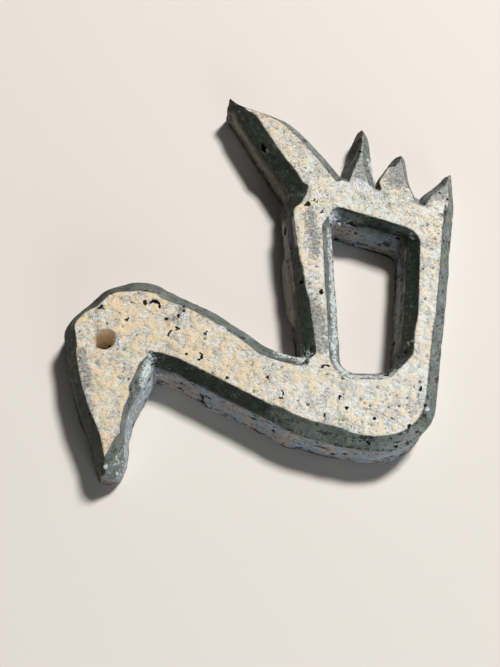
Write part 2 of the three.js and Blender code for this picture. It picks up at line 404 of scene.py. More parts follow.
# %% Softened places
# Start and end of the line, the radius around it in mm, and how often it is smoothed.
SOFT_PLACES = [
    ((22.9, 20.0, 10.4), (42.9, 11.4, 10.4), 2.4, 45),  # roots of the feathers
    ((-3.0, 42.5, 10.6), (4.0, 28.8, 10.6), 1.5, 12),  # wing, face line
    ((7.3, 17.0, 10.6), (9.5, -12.0, 10.6), 2.0, 12),  # post, face line
    ((8.6, 17.4, 10.3), (4.8, 15.6, 8.0), 2.8, 40),  # shoulder of the post
    ((-2.0, -38.6, 0.5), (7.0, -42.4, 0.5), 2.2, 20),  # foot of the belly
    ((-31.0, -50.0, 8.0), (-34.0, -50.2, 8.0), 2.0, 15),  # end of the bill
    ((7.2, -23.6, 9.0), (8.4, -27.0, 10.4), 2.8, 35),  # foot of the post
    ((9.4, -17.0, 10.4), (9.8, -24.0, 10.4), 2.0, 20),
    ((24.0, 38.0, 8.0), (23.2, 24.0, 10.0), 1.8, 18),  # first feather
    ((33.0, 30.0, 8.0), (32.0, 22.0, 10.0), 2.6, 16),  # second feather
    ((44.5, 24.5, 8.0), (40.0, 17.0, 10.0), 2.2, 16),  # third feather
    ((42.2, 14.0, 10.4), (40.6, 7.0, 10.4), 2.4, 35),  # face line below it
]


def soften(start, end, radius, repeat):
    """Smooths the skin within a radius of a line."""
    grip(distances(start, end) < radius * MM)
    bpy.ops.mesh.vertices_smooth(factor=0.5, repeat=repeat)
    let_go()


for place in SOFT_PLACES:
    soften(*place)
use_modifier(swan, "SMOOTH", factor=0.5, iterations=3)
print("softened places:", len(SOFT_PLACES))

# %% [markdown]
# ## Chips, pores and crescents
# Coarse grit in the clay caught on the knife. Some grains tore out and left a pit, others stayed as
# a lump with a crescent-shaped crack beside it. Each of these is a small tool: a pebble for a pit,
# and a chain of pebbles along an arc for a crescent. All tools are joined, fused by a voxel remesh
# and cut from the slab in one boolean.

# %% Where the pits and crescents are
FACE_TOP = round(cad_box[1][2] / MM, 3)  # height of the face in mm, from the CAD model
# Pits in the face: x, y, length, width and depth in mm, and the turn in degrees.
FACE_PITS = [
    (-27.3, -8.7, 1.3, 0.9, 0.9, 20),
    (-36.9, -13.3, 1.9, 0.9, 0.5, 60),
    (-31.0, -16.3, 1.4, 0.6, 0.4, 25),
    (-19.9, -18.5, 1.7, 0.5, 0.6, -55),
    (-22.4, -16.3, 0.9, 0.6, 0.4, 40),
    (-27.2, -12.2, 0.8, 1.9, 0.6, 10),
    (-18.6, -13.0, 0.7, 0.6, 0.5, 30),
    (-18.5, -14.4, 0.9, 0.4, 0.5, 10),
    (-19.8, -15.5, 0.9, 0.6, 0.5, 40),
    (-13.6, -19.7, 1.2, 0.5, 0.4, 85),
    (-17.7, -24.8, 0.8, 0.5, 0.4, 10),
    (-8.9, -30.4, 0.9, 0.5, 0.5, 60),
    (-0.4, -30.2, 1.0, 0.6, 0.6, 10),
    (2.5, -35.0, 1.2, 0.5, 0.7, 15),
    (14.6, -34.8, 1.3, 0.5, 0.6, 75),
    (16.1, -37.2, 0.9, 0.6, 0.6, 40),
    (21.6, -39.4, 1.1, 0.5, 0.5, 60),
    (11.5, -38.6, 1.2, 0.6, 0.5, 60),
    (28.7, -41.2, 1.0, 0.7, 0.7, 30),
    (31.9, -32.7, 1.4, 0.9, 0.6, 50),
    (11.9, -9.4, 1.5, 0.7, 0.8, 115),
    (9.6, 14.6, 1.7, 1.2, 0.7, 20),
    (11.4, 15.3, 1.8, 0.4, 0.4, -40),
    (13.1, 12.6, 1.2, 0.4, 0.4, 70),
    (32.4, -36.6, 0.9, 0.8, 0.8, 0),
]
# Holes in chamfers and walls: place, then length, width and depth in mm, and the turn.
SIDE_PITS = [
    (4.4, 10.5, 5.6, 3.0, 2.2, 3.4, 80),
    (4.1, 10.7, 2.2, 1.4, 0.9, 1.2, 80),
    (7.8, -6.5, 9.5, 1.9, 1.3, 1.7, 0),
    (-0.6, 32.9, 8.7, 3.0, 1.9, 2.2, -60),
    (0.4, 31.4, 9.4, 1.2, 0.5, 0.8, -30),
    (-5.4, -20.6, 10.0, 1.2, 0.6, 0.9, -35),
    (23.4, 32.2, 8.7, 1.5, 0.8, 1.4, 60),
    (31.6, 28.0, 8.3, 1.6, 1.2, 1.4, 20),
    (41.9, 19.3, 8.8, 1.3, 0.6, 0.7, -30),
    (43.3, 17.3, 9.0, 1.0, 0.7, 0.8, 30),
    (32.4, -38.6, 10.0, 1.0, 0.7, 1.0, 60),
    (20.2, -44.4, 9.4, 2.4, 0.7, 0.9, -35),
    (26.0, -45.0, 8.6, 1.3, 0.6, 0.8, 30),
    (30.7, -41.8, 9.2, 1.3, 0.5, 0.7, 60),
    (16.0, -45.1, 4.4, 1.4, 0.9, 0.9, 0),
    (25.2, -29.2, 9.6, 1.0, 1.4, 1.6, 10),
    (9.7, 34.8, 9.6, 2.4, 1.6, 1.2, 20),
    (20.2, 10.5, 8.4, 3.0, 0.9, 1.0, -30),
    (-27.1, -7.9, 10.2, 1.1, 0.9, 1.2, 0),
]
# Crescent cracks: centre x and y, radius of the arc, start and end angle, width and depth.
CRESCENTS = [
    (-25.2, -13.0, 1.2, 0, 130, 0.9, 1.2),
    (-20.4, -20.2, 1.3, 110, 195, 0.3, 0.5),
    (-15.2, -25.2, 0.9, -80, 50, 0.45, 0.7),
    (12.1, -28.2, 0.8, 40, 180, 0.3, 0.4),
    (2.2, -34.0, 0.8, -40, 50, 0.3, 0.5),
]
print("pits and crescents:", len(FACE_PITS) + len(SIDE_PITS), len(CRESCENTS))

# %% [markdown]
# A tool sits with its middle on the surface, so it is twice as deep as the pit that it cuts. The
# pebbles beside a pit are placed by chance, from a fixed seed, which gives the same swan each time.

# %% The tools that cut them
ARC_STEP = 18  # degrees between the pebbles of a crescent
CRESCENT_TIP = 0.35  # width of a crescent at its ends, as a share of its middle
OVERLAP = 1.6  # length of its pebbles along the arc, in widths, so that they join up
PIT_CORE = 0.65  # size of a pit's main pebble, as a share of the pit
PIT_SPREAD = 0.32  # how far from the middle the torn edges sit, in lengths
TORN_LENGTH = (0.20, 0.40)  # least and most of the pit's length that a torn edge has
TORN_WIDTH = (0.30, 0.50)
TORN_DEPTH = (0.40, 0.80)
PIT_SEED = 5
chance = random.Random(PIT_SEED)


def crescent(x, y, radius, start, end, width, depth):
    """A chain of pebbles along an arc, thickest in its middle."""
    span = end - start + ARC_STEP
    for angle in range(start, end + 1, ARC_STEP):
        rise = math.sin(math.pi * (angle - start + ARC_STEP / 2) / span)
        swell = CRESCENT_TIP + (1 - CRESCENT_TIP) * rise
        turn = math.radians(angle)
        pebble(
            x + radius * math.cos(turn),
            y + radius * math.sin(turn),
            FACE_TOP,
            width * swell,
            OVERLAP * width,
            2 * depth * swell,
            turn=angle,
            detail=1,
        )


def torn_pit(x, y, z, length, width, depth, turn):
    """One pebble and two smaller ones beside it, so that the pit gets a torn outline."""
    pebble(x, y, z, PIT_CORE * length, PIT_CORE * width, depth, turn)
    for _ in range(2):
        way = chance.uniform(0, 2 * math.pi)
        pebble(
            x + PIT_SPREAD * length * math.cos(way),
            y + PIT_SPREAD * length * math.sin(way),
            z,
            length * chance.uniform(*TORN_LENGTH),
            width * chance.uniform(*TORN_WIDTH),
            depth * chance.uniform(*TORN_DEPTH),
            turn=chance.uniform(0, 180),
        )


# %% [markdown]
# Roughness is carved by a Displace modifier that reads a noise texture through an empty. The empty
# is scaled to a millimetre, so that the noise can be sized in mm, and a longer scale along x and y
# draws the noise out into level grooves. A colour ramp keeps only the peaks or the holes.

# %% Relief from a noise texture
bpy.ops.object.empty_add(location=(0, 0, 0))
grid = bpy.context.object


def relief(
    piece, region, height, size, kind="CLOUDS", mid=0.5, ramp=None, stretch=(1, 1, 1), **settings
):
    """Raises or sinks one region of a skin by a noise texture; height and size are in mm."""
    texture = bpy.data.textures.new("relief", type=kind)
    texture.noise_scale = size
    for name, value in settings.items():
        setattr(texture, name, value)
    if ramp:
        texture.use_color_ramp = True
        first, last = texture.color_ramp.elements
        first.position, last.position = ramp
        first.color = (0, 0, 0, 1)
        last.color = (1, 1, 1, 1)
    grid.scale = Vector(stretch) * MM
    bpy.context.view_layer.update()
    use_modifier(
        piece,
        "DISPLACE",
        texture=texture,
        texture_coords="OBJECT",
        texture_coords_object=grid,
        direction="Z" if region == "face" else "NORMAL",
        mid_level=mid,
        strength=height * MM,
        vertex_group=region,
    )
    bpy.data.textures.remove(texture)


# %% [markdown]
# The tools start from a ball placed well clear of the swan, which is deleted again: it only gives
# an empty mesh to add the pebbles to. The whole set gets a rough skin of its own before it cuts.

# %% Cutting them from the slab
TOOL_VOXEL = 0.12 * MM
CLEAR_OF_SWAN = (0, 0, 100 * MM)
bpy.ops.mesh.primitive_ico_sphere_add(subdivisions=1, radius=MM, location=CLEAR_OF_SWAN)
tools = bpy.context.object
tools.name = "tools"
edit_all(tools)
bpy.ops.mesh.delete(type="VERT")
for x, y, length, width, depth, turn in FACE_PITS:
    torn_pit(x, y, FACE_TOP, length, width, 2 * depth, turn)
for pit in SIDE_PITS:
    torn_pit(*pit)
for arc in CRESCENTS:
    crescent(*arc)
bpy.ops.object.mode_set(mode="OBJECT")
use_modifier(tools, "REMESH", mode="VOXEL", voxel_size=TOOL_VOXEL)
relief(tools, "", 0.55, 0.6, noise_depth=1)
faces_before = len(swan.data.polygons)
use_modifier(swan, "BOOLEAN", operation="DIFFERENCE", solver="MANIFOLD", object=tools)
bpy.data.objects.remove(tools)
print("faces before and after the cut:", faces_before, len(swan.data.polygons))

# %% [markdown]
# ## Relief
# Noise gives each region its own small relief. The face is dragged clay: gently wavy, grainy and
# full of pores. The chamfers were pared, so they are smooth but uneven. The walls were cut with a
# wire that pulled grit along, which leaves grooves that run level round the slab, and they are
# ragged just above the floor, so that strip gets a vertex group of its own.

# %% Broad waves, and the ragged foot of the walls
FOOT_FROM = 0.3 * MM
FOOT_TO = 1.9 * MM

relief(swan, "face", 0.25, 7.0)
relief(swan, "chamfer", 0.45, 6.0)
relief(swan, "wall", 0.4, 7.0)
foot = swan.vertex_groups.new(name="foot")
heights = read_vectors(swan.data.vertices, "co")[:, 2]
in_foot = (heights > FOOT_FROM) & (heights < FOOT_TO)
foot.add(np.flatnonzero(in_foot).tolist(), 1.0, "REPLACE")
print("vertices in the foot:", int(in_foot.sum()))

# %% [markdown]
# How far the finer relief lifts or sinks each vertex is measured and kept, because dirt stays in
# the hollows and rubs off the rest.

# %% Grain, pores and grooves
places_before = read_vectors(swan.data.vertices, "co")
normals_before = read_vectors(swan.data.vertex_normals, "vector")
relief(swan, "face", 0.14, 1.9, noise_depth=6, ramp=(0.46, 0.60))
relief(swan, "face", 0.20, 0.8, noise_depth=3)
relief(swan, "face", 0.40, 2.6, kind="VORONOI", mid=1.0, ramp=(0.06, 0.17))
relief(swan, "chamfer", 0.24, 1.0, stretch=(3, 3, 1), noise_depth=2)
relief(swan, "chamfer", 0.30, 3.0, kind="VORONOI", mid=1.0, ramp=(0.05, 0.16))
relief(swan, "wall", 0.40, 1.0, stretch=(4, 4, 1), noise_depth=3)
relief(swan, "wall", 0.5, 2.6, kind="VORONOI", mid=1.0, ramp=(0.08, 0.24))
relief(swan, "foot", 0.55, 0.9, mid=0.4, stretch=(2, 2, 1), noise_depth=2)
swan.vertex_groups.remove(swan.vertex_groups["foot"])
bpy.data.objects.remove(grid)
moved = read_vectors(swan.data.vertices, "co") - places_before
lift = (moved * normals_before).sum(axis=1) / MM
print("relief, mm:", round(float(lift.min()), 2), round(float(lift.max()), 2))

# %% [markdown]
# ## Marks painted one by one
# Some marks belong to one place only: pale blue and white along the rims of the window and at the
# throat, which is partly chalky residue and partly painted highlights and a painted reflection of
# the sky, grit with painted white glints, dark slip rubbed over the feathers, bare clay in the eye.
# They are brushed on as soft strokes and stored per vertex, so that the material can break them up
# with noise.

# %% The strokes
# Start and end of each stroke and the brush radius in mm, then the strength, where 1 covers fully
# and a little more than 1 carries the paint further out.
STROKES = {
    # Partly chalky residue, partly painted highlights and a painted reflection of the sky.
    "chalk_and_glints": [
        ((15.3, 8.5, 9.3), (15.0, -11.5, 9.3), 1.5, 1.15),  # window, left rim
        ((15.0, -11.5, 9.3), (15.0, -21.4, 9.3), 1.5, 1.15),
        ((16.5, 11.4, 10.1), (33.4, 5.9, 10.1), 1.3, 0.95),  # window, upper rim
        ((27.4, -24.5, 10.6), (30.2, -22.0, 10.6), 2.2, 0.5),  # beside its lower right corner
        ((14.4, -21.4, 9.8), (15.4, -27.4, 9.8), 1.8, 1.0),
        ((15.4, -27.4, 9.8), (17.6, -29.7, 9.8), 2.0, 1.0),
        ((17.6, -29.7, 9.8), (25.7, -29.8, 9.8), 2.2, 0.9),
        ((25.7, -29.8, 9.8), (29.0, -28.1, 9.8), 2.0, 0.7),
        ((15.0, 11.2, 9.5), (19.2, 9.6, 8.8), 2.2, 0.9),  # window, top left corner
        ((18.0, -32.0, 10.6), (30.0, -31.0, 10.6), 3.2, 0.45),
        ((-25.6, -25.1, 9.3), (-27.0, -30.0, 8.0), 1.9, 1.0),  # throat
        ((-26.0, -26.5, 5.0), (-27.2, -32.0, 5.0), 4.2, 0.55),
        ((-27.2, -32.0, 5.0), (-29.0, -37.7, 5.0), 4.2, 0.45),
        ((-29.0, -37.7, 5.0), (-30.4, -49.8, 5.0), 4.0, 0.50),
        ((7.4, -24.6, 9.4), (3.0, -23.6, 8.6), 2.8, 0.9),  # foot of the post
        ((6.6, -22.5, 8.0), (6.8, -26.0, 9.0), 2.4, 0.7),
        ((22.2, 20.9, 10.0), (24.5, 19.5, 10.0), 1.8, 0.9),  # roots of the feathers
        ((26.1, 17.4, 10.2), (26.8, 17.6, 10.2), 1.4, 0.9),
        ((26.4, 22.3, 7.5), (25.8, 30.0, 7.0), 1.7, 1.0),
        ((-32.7, -21.6, 10.6), (-32.1, -22.4, 10.6), 1.2, 1.0),  # beside the eye
        ((-18.1, -14.8, 10.6), (-18.7, -16.0, 10.6), 0.8, 0.9),  # grit on the neck
        ((8.8, -25.5, 9.5), (9.4, -26.5, 10.2), 1.4, 0.7),
        ((-38.2, -22.4, 10.6), (-38.0, -24.6, 10.6), 1.0, 0.7),
        ((33.1, -37.3, 9.9), (33.2, -37.3, 9.9), 0.8, 1.0),
        ((0.4, 32.0, 8.8), (0.5, 32.0, 8.8), 1.4, 0.6),
        ((-10.4, -18.2, 10.2), (-9.4, -18.8, 10.2), 0.9, 1.0),
        ((-33.3, -49.0, 8.3), (-33.2, -49.0, 8.3), 0.8, 1.0),
    ],
    "soot": [
        ((24.1, 38.9, 8.0), (23.2, 23.0, 9.5), 3.0, 1.0),  # first feather
        ((33.1, 31.0, 8.0), (31.6, 22.4, 9.8), 4.6, 1.0),  # second feather
        ((45.2, 25.5, 7.0), (37.5, 16.8, 9.5), 2.9, 1.0),  # third feather
        ((45.0, 25.0, 8.0), (44.5, 18.0, 9.5), 1.8, 0.9),
        ((-40.2, -24.3, 10.6), (-38.4, -32.0, 10.6), 1.9, 0.9),  # head, left
        ((-37.6, -25.0, 10.6), (-36.4, -27.5, 10.6), 1.4, 0.5),
        ((-38.5, -34.0, 10.6), (-36.8, -38.0, 10.6), 1.6, 0.75),
        ((-36.9, -13.3, 10.6), (-37.5, -14.3, 10.6), 1.7, 0.7),
        ((9.1, -11.5, 10.6), (11.3, -22.6, 10.6), 3.6, 1.0),  # post, pared lower
        ((10.2, 11.5, 10.6), (11.0, 1.0, 10.6), 2.6, 0.8),
        ((36.2, -20.2, 10.6), (35.5, -34.3, 10.6), 2.2, 0.5),  # body, right
        ((-18.4, -13.2, 10.6), (-20.8, -16.4, 10.6), 2.4, 0.7),
        ((-3.0, -23.0, 10.6), (4.0, -25.5, 10.6), 2.4, 0.5),  # neck, below the post
        ((44.4, 24.0, 8.5), (42.0, 18.8, 10.0), 4.0, 1.0),
        ((-26.9, -12.2, 10.6), (-24.5, -11.7, 10.6), 1.3, 0.6),
        ((-32.8, -21.6, 10.8), (-32.1, -22.4, 10.8), 2.2, 0.5),  # round the grit beside the eye
        ((21.4, 21.4, 10.2), (28.5, 17.4, 10.4), 1.8, 0.6),  # roots of the feathers
        ((7.0, 36.5, 10.6), (15.5, 25.0, 10.6), 1.2, 0.7),  # wing, right edge
        ((-10.0, 50.0, 9.5), (-6.0, 46.0, 10.2), 2.0, 1.0),  # wing tip
    ],
    "bare": [
        ((22.9, 19.6, 10.4), (39.6, 12.4, 10.4), 1.9, 1.0),  # below the feathers
        ((-8.8, 45.5, 4.5), (-3.5, 35.5, 4.0), 5.0, 0.52),  # wing wall
        ((-3.5, 35.5, 4.0), (3.4, 21.0, 3.6), 4.5, 0.50),
        ((6.3, 11.0, 10.2), (6.7, 3.0, 10.2), 1.0, 0.5),  # post, left
        ((4.4, 12.0, 4.0), (6.0, -12.0, 3.0), 4.0, 0.62),  # post wall
    ],
    # Grit, with white glints painted on it.
    "grit_and_glints": [
        ((-32.8, -21.6, 10.8), (-32.1, -22.4, 10.8), 1.0, 1.0),  # beside the eye
        ((-18.1, -14.8, 10.8), (-18.7, -16.0, 10.8), 0.8, 0.9),  # on the neck
        ((-10.2, -18.3, 10.4), (-9.7, -18.7, 10.4), 0.5, 0.9),
        ((33.1, -37.3, 10.3), (33.2, -37.3, 10.3), 0.8, 1.0),  # belly corner
        ((22.2, 20.9, 10.2), (23.3, 20.2, 10.4), 1.0, 0.9),  # roots of the feathers
        ((26.3, 17.4, 10.6), (26.9, 17.6, 10.5), 0.9, 0.9),
        ((15.6, 10.8, 9.8), (17.6, 9.8, 9.4), 0.9, 0.8),  # corner of the window
    ],
    "slip": [
        ((-10.0, 50.0, 9.0), (-5.6, 46.6, 10.0), 2.0, 1.0),  # wing tip
        ((43.0, 17.0, 10.5), (42.4, 10.6, 10.5), 1.2, 0.9),  # below the third feather
    ],
    "eye": [((-35.5, -21.2, 10.0), (-36.1, -21.0, 2.2), 2.9, 1.0)],
    # Places where the slip and the walls are paler, as wear; these add to the painted light of the
    # lit sides.
    "wear_and_light": [
        ((4.0, -40.0, 8.0), (28.0, -45.0, 7.0), 7.0, 0.9),  # belly
        ((16.5, 11.8, 10.2), (33.4, 6.4, 10.2), 2.0, 1.0),  # window, upper rim
        ((18.0, 9.0, 4.0), (33.0, 3.6, 4.0), 4.5, 0.42),  # window, upper wall
        ((33.2, 2.0, 8.6), (31.4, -20.0, 8.6), 3.0, 0.45),  # window, right chamfer
        ((31.0, 2.0, 4.0), (29.6, -20.0, 4.0), 4.0, 0.35),  # window, right wall
        ((29.7, 27.6, 8.0), (28.2, 23.0, 8.5), 2.4, 0.7),  # feathers, left chamfers
        ((43.6, 24.2, 8.0), (38.0, 18.0, 9.0), 2.6, 0.7),
        ((21.8, 33.0, 8.0), (20.6, 26.0, 8.0), 2.0, 0.4),
        ((4.0, 12.0, 8.0), (5.6, -6.0, 8.0), 2.6, 0.5),  # post, left chamfer
        ((-20.0, -28.5, 3.0), (3.0, -40.0, 3.0), 4.5, 0.7),  # neck wall
    ],
}
print("strokes:", {name: len(strokes) for name, strokes in STROKES.items()})

# %% [markdown]
# The regions are still vertex groups. They are stored as one number per vertex, as the strokes are,
# so that one kind of node in the material reads them all.

# %% Weights and strokes as attributes
BRUSH_EDGE = 0.6  # below 1 a brush stays strong nearly to its edge


def store(name, values):
    """Keeps one number per vertex under a name."""
    swan.data.attributes.new(f"clay_{name}", "FLOAT", "POINT").data.foreach_set("value", values)


def group_weights(group):
    """The weights of a vertex group, with 0 where a vertex isn't in it."""
    weights = np.zeros(len(swan.data.vertices))
    for vertex in swan.data.vertices:
        for entry in vertex.groups:
            if entry.group == group.index:
                weights[vertex.index] = entry.weight
    return weights


for group in swan.vertex_groups:
    store(group.name, group_weights(group))
swan.vertex_groups.clear()
store("lift", lift)
for name, strokes in STROKES.items():
    paint = np.zeros(len(swan.data.vertices))
    for start, end, radius, strength in strokes:
        near = (1 - distances(start, end) / (radius * MM)).clip(0, 1)
        paint = np.maximum(paint, strength * near**BRUSH_EDGE)
    store(name, paint)
print("attributes:", [item.name for item in swan.data.attributes if item.name.startswith("clay_")])

# %% [markdown]
# ## Thinning
# A piece has to stay below 200,000 triangles. It is thinned last, because Decimate takes most from
# where it is flat, spares the pits and grooves, and carries the stored numbers along.

# %% Thinning the mesh
MOST_TRIANGLES = 196000
use_modifier(swan, "TRIANGULATE")
share = MOST_TRIANGLES / len(swan.data.polygons)
use_modifier(swan, "DECIMATE", ratio=min(share, 1.0))
pick(swan)
bpy.ops.object.shade_smooth()
print("triangles:", len(swan.data.polygons))

# %% [markdown]
# ## Painting with expressions
# The finish is worked out from a few sums. A small class wraps the output of a node, so that
# 1 - mask or grain * 0.5 adds the Math nodes by itself.

# %% A wire that can be added, multiplied and mixed
class Wire:
    """A node's output that can be used in sums."""

    def __init__(self, tree, socket=None):
        self.tree = tree
        self.socket = socket

    def node(self, kind, settings=None, inputs=None, output=0):
        """Adds a node, sets it up, feeds its inputs and returns one of its outputs."""
        node = self.tree.nodes.new(kind)
        for name, value in (settings or {}).items():
            setattr(node, name, value)
        for key, value in (inputs or {}).items():
            if isinstance(value, Wire):
                self.tree.links.new(value.socket, node.inputs[key])
            else:
                node.inputs[key].default_value = value
        return Wire(self.tree, node.outputs[output])

    def maths(self, operation, first, second):
        """Adds one Math node."""
        return self.node("ShaderNodeMath", {"operation": operation}, {0: first, 1: second})

    def __add__(self, other):
        return self.maths("ADD", self, other)

    def __radd__(self, other):
        return self.maths("ADD", other, self)

    def __sub__(self, other):
        return self.maths("SUBTRACT", self, other)

    def __rsub__(self, other):
        return self.maths("SUBTRACT", other, self)

    def __mul__(self, other):
        return self.maths("MULTIPLY", self, other)

    def __rmul__(self, other):
        return self.maths("MULTIPLY", other, self)

    def ramp(self, low, high):
        """0 up to low, 1 from high on, and a smooth rise between them."""
        settings = {"interpolation_type": "SMOOTHSTEP"}
        inputs = {"Value": self, "From Min": low, "From Max": high}
        return self.node("ShaderNodeMapRange", settings, inputs)

    def blend(self, zero, one):
        """A colour that is zero where the wire is 0 and one where it is 1."""
        return self.node("ShaderNodeMix", {"data_type": "RGBA"}, {0: self, 6: zero, 7: one}, output=2)


# %% [markdown]
# ## The fired clay
# The bare face is a grey and cream ground, finely speckled, on which sand-coloured flakes stand a
# little higher. The slip on the chamfers is nearly black where it is thick and turned away from the
# lights, which is partly painted shade, and grey where it was rubbed or turned towards them, which
# is partly a painted reflection. The walls show raw clay, brown in places and blue in others,
# painted darker where they turn away from the lights and pale blue where they turn towards them,
# with black drag marks. All of it hangs on a few noises and on the stored weights, so these come
# first.

# %% The ground: coordinates, noises and masks
clay = bpy.data.materials.new("fired_clay")
clay.use_nodes = True
tree = clay.node_tree
shader = tree.nodes["Principled BSDF"]
start = Wire(tree)
place = start.node("ShaderNodeTexCoord", output="Object")


def noise(size, detail=2.0, rough=0.5, stretch=(1, 1, 1), offset=0.0, distortion=0.0):
    """Noise around 0.5 with lumps of this size in mm."""
    scales = tuple(1 / (size * part * MM) for part in stretch)
    shift = (offset, offset, offset)
    settings = {"operation": "MULTIPLY_ADD"}
    point = start.node("ShaderNodeVectorMath", settings, {0: place, 1: scales, 2: shift})
    inputs = {
        "Vector": point,
        "Scale": 1.0,
        "Detail": detail,
        "Roughness": rough,
        "Distortion": distortion,
    }
    return start.node("ShaderNodeTexNoise", {}, inputs)


def stored(name):
    """A number that was stored per vertex."""
    return start.node("ShaderNodeAttribute", {"attribute_name": f"clay_{name}"}, output="Fac")


def position(axis):
    """The place along x, y or z, which are axes 0, 1 and 2, in mm."""
    return start.node("ShaderNodeSeparateXYZ", {}, {0: place}, output=axis) * (1 / MM)


zone = noise(9.0, offset=3)
patch = noise(1.9, detail=5, rough=0.68, distortion=0.2)
mottle = noise(0.8, detail=3, rough=0.65, offset=5)
grain = noise(0.32, detail=2, rough=0.6, offset=9)
smudge = noise(3.0, detail=3, rough=0.6, offset=11)
streak = noise(0.5, detail=2, rough=0.6, stretch=(9, 9, 1), offset=13)
wobble = mottle * 0.5 + patch * 0.5 - 0.5
raised = stored("lift")
lit_side = stored("lit_side")
face_weight = stored("face")
under = stored("underside")
wall_weight = stored("wall") + under
covered = face_weight + wall_weight + stored("chamfer")
on_face = (face_weight + wobble * 0.5).ramp(0.40, 0.58)
on_wall = (wall_weight + wobble * 0.6).ramp(0.38, 0.60)
in_pit = (1 - covered).ramp(0.3, 0.9)
print("noises and masks:", len(tree.nodes), "nodes")

# %% [markdown]
# The colours are given as they look on a screen from 0 to 255. Blender works with linear light
# instead, so each one is converted once.

# %% The palette
def linear(value):
    """One screen value as a share of linear light."""
    share = value / 255
    return share / 12.92 if share <= 0.04045 else ((share + 0.055) / 1.055) ** 2.4


def srgb(red, green, blue):
    """A colour as Blender's four linear numbers."""
    return (linear(red), linear(green), linear(blue), 1)


CREAM = srgb(250, 245, 230)
CREAM_DEEP = srgb(218, 214, 200)
CREAM_COOL = srgb(253, 255, 250)
CREAM_COOL_DEEP = srgb(228, 232, 226)
ASH = srgb(178, 180, 172)
SAND = srgb(250, 228, 190)
SAND_DEEP = srgb(234, 216, 182)
SAND_COOL = srgb(254, 242, 214)
SAND_COOL_DEEP = srgb(238, 228, 206)
GLINT = srgb(250, 251, 248)
SPECK = srgb(80, 84, 86)
DIRT = srgb(134, 132, 122)
SOOT = srgb(90, 94, 92)
SOOT_PALE = srgb(184, 187, 184)
# The dark slip and dark wall colours serve the sides turned away from the lights, partly as painted
# shade; the pale slip and pale wall colours serve the sides turned towards them, partly as a painted
# reflection.
SLIP_DARK = srgb(46, 52, 42)
SLIP_MID = srgb(106, 112, 98)
SLIP_BLUE = srgb(98, 112, 114)
SLIP_PALE = srgb(142, 148, 146)
WALL_DARK = srgb(84, 80, 76)
WALL_WARM = srgb(184, 172, 164)
WALL_COOL = srgb(164, 176, 184)
WALL_PALE = srgb(160, 176, 188)
BLACK = srgb(26, 28, 28)
# These three colours are chalky residue with painted highlights and a painted reflection of the sky,
# and the painted white glints on the grit.
CHALK_AND_SHEEN_BLUE = srgb(190, 206, 210)
CHALK_AND_GLINT_WHITE = srgb(236, 244, 244)
GLINT_WHITE = srgb(250, 252, 255)
TAN = srgb(250, 232, 208)

print("sand in linear light:", [round(value, 3) for value in SAND])

# %% [markdown]
# ### The bare face
# The ground is cream, cooler towards the right, with ash-grey patches. A flake lies where a slow
# noise and the height of the skin add up, so flakes sit on what stands proud, and parts of their
# outlines are cracked dark. Specks, dirt and soot come last, because they lie on top, and the half
# towards the wing and tail is the more worn and dotted.

# %% The colour of the face
FLAKE_EDGE = 0.60  # the height at which the outline of a flake runs
EDGE_SHARPNESS = 1600  # the larger, the thinner the crack along it

cool = (position(0) + smudge * 30).ramp(2.0, 34.0)
fine = noise(0.28, detail=4, rough=0.75, offset=21)
coarse = noise(0.62, detail=3, rough=0.7, offset=27)
speckle = coarse * 0.5 + fine * 0.5
fine_light = fine.ramp(0.44, 0.56)
cream = fine_light.blend(cool.blend(CREAM_DEEP, CREAM_COOL_DEEP), cool.blend(CREAM, CREAM_COOL))
sand = fine_light.blend(cool.blend(SAND_DEEP, SAND_COOL_DEEP), cool.blend(SAND, SAND_COOL))
flake_height = raised * 0.8 + patch * 1.0 + zone * 0.25 + (fine - 0.5) * 0.3
flake = flake_height.ramp(0.59, 0.68)
face_colour = flake.blend(cream, sand)
ashes = (mottle * 0.6 + smudge * 0.6 - flake * 0.06 - raised * 0.4).ramp(0.56, 0.74)
face_colour = (ashes * 0.5).blend(face_colour, ASH)
off_edge = flake_height - FLAKE_EDGE
outline = off_edge * off_edge * EDGE_SHARPNESS
cracked = (1 - outline.ramp(0.0, 1.0)) * (smudge * 0.6 + mottle * 0.5).ramp(0.50, 0.62)
face_colour = (cracked * 0.6).blend(face_colour, SPECK)
glints = (fine * 0.4 + mottle * 0.6).ramp(0.56, 0.66)
face_colour = (glints * 0.5).blend(face_colour, GLINT)
worn_half = (position(1) + smudge * 20).ramp(0.0, 30.0)
specks = coarse * 0.55 + grain * 0.30 + smudge * 0.25 - raised * 0.4
face_colour = (specks.ramp(0.625, 0.70) * 0.85).blend(face_colour, SPECK)
dots = (grain * 0.7 + fine * 0.4 + worn_half * 0.03).ramp(0.64, 0.68)
face_colour = (dots * (worn_half * 0.25 + 0.60)).blend(face_colour, SPECK)
rim_dirt = (1 - face_weight - stored("bare") * 0.9 + wobble * 0.9).ramp(0.02, 0.42)
face_colour = (rim_dirt * 0.75).blend(face_colour, DIRT)
soot = (stored("soot") + wobble * 1.6 + (coarse - 0.5) * 0.8).ramp(0.30, 0.80)
soot_colour = speckle.ramp(0.40, 0.62).blend(SOOT_PALE, SOOT)
face_colour = (soot * 0.9).blend(face_colour, soot_colour)
print("nodes after the face:", len(tree.nodes))

# %% [markdown]
# ### The dark slip
# One value mixes how worn a side is with how far it turns towards the lights. The slip goes from
# nearly black, partly painted shade on the sides turned away, to a mix of green and blue greys and
# on to pale grey, partly a painted reflection on the sides turned towards the lights, as the value
# rises. It stays dark in the crease below the face and is thinnest on the edge where the chamfer
# meets the wall.

